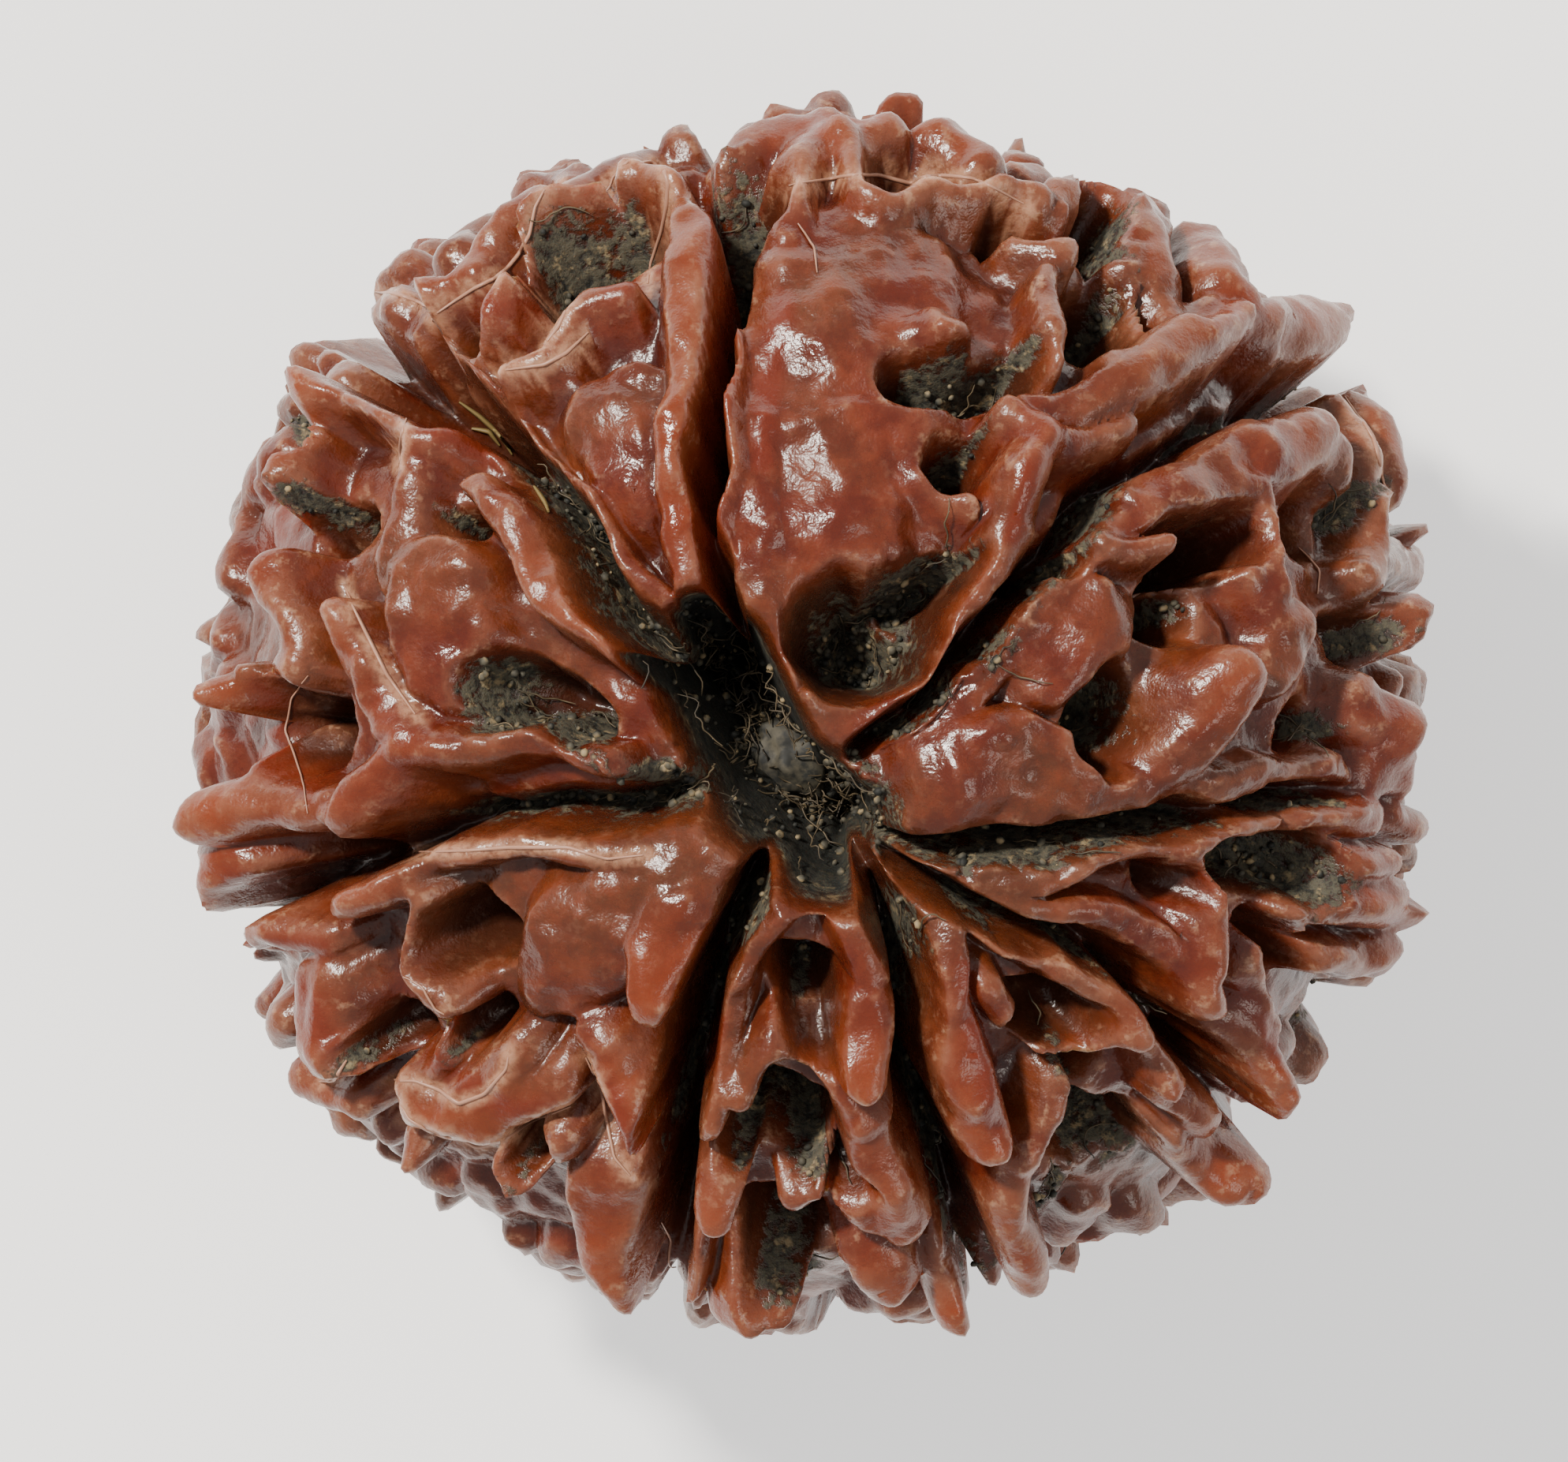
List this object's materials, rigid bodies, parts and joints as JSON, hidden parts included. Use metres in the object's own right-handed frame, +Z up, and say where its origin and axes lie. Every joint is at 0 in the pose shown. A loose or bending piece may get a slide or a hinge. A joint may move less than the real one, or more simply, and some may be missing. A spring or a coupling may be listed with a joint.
{
  "type": "rudraksha bead",
  "caption": "Ridged and pitted dried fruit stone with deep seams between broad spiny faces round a sunken pole, lying on its other pole.",
  "frame": {"origin": "middle of the bead's box on the floor that it rests on, nearly under the axis of its string hole", "axes": "+Z up the string hole, from the lower pole that it rests on to the sunken pole; +Y towards the broadest, smoothest face"},
  "size_m": [0.0246, 0.025, 0.0199],
  "materials": {
    "waxed_stone": "satin"
  },
  "bodies": {
    "root": {"rudraksha_bead": "waxed_stone"}
  },
  "joints": []
}
